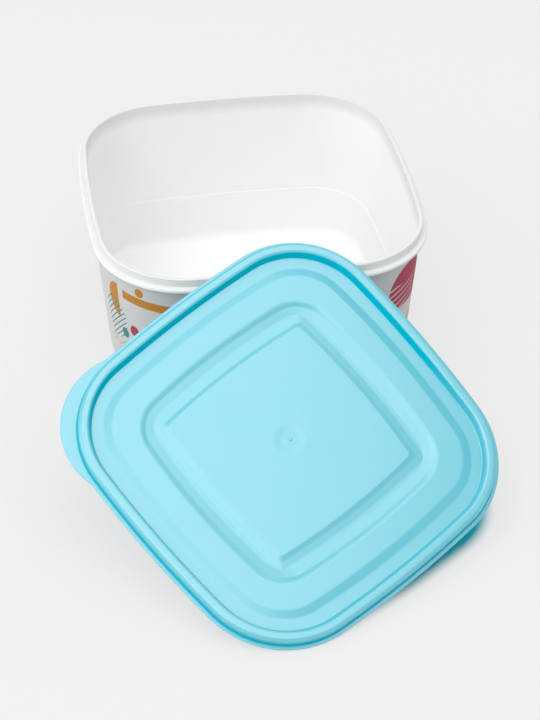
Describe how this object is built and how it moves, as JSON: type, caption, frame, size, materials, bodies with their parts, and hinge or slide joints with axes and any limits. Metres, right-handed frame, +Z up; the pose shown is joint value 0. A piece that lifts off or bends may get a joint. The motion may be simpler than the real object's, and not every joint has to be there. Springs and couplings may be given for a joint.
{
  "type": "reusable plastic food container",
  "caption": "Open square plastic food tub with tapered walls and a moulded rim; its press-on lid with a pull tab leans on the rim.",
  "frame": {"origin": "centre of the tub's base, on the surface that the tub stands on", "axes": "+Z up; -Y towards the side where the lid leans on the rim; +X to the right of someone facing that side"},
  "size_m": [0.1973, 0.3185, 0.0974],
  "materials": {
    "tub": "matt white polypropylene with printed shapes on the outside of the walls",
    "lid": "matt turquoise plastic, fine-grained"
  },
  "bodies": {
    "root": {"tub": "tub", "lid": "lid"}
  },
  "joints": []
}
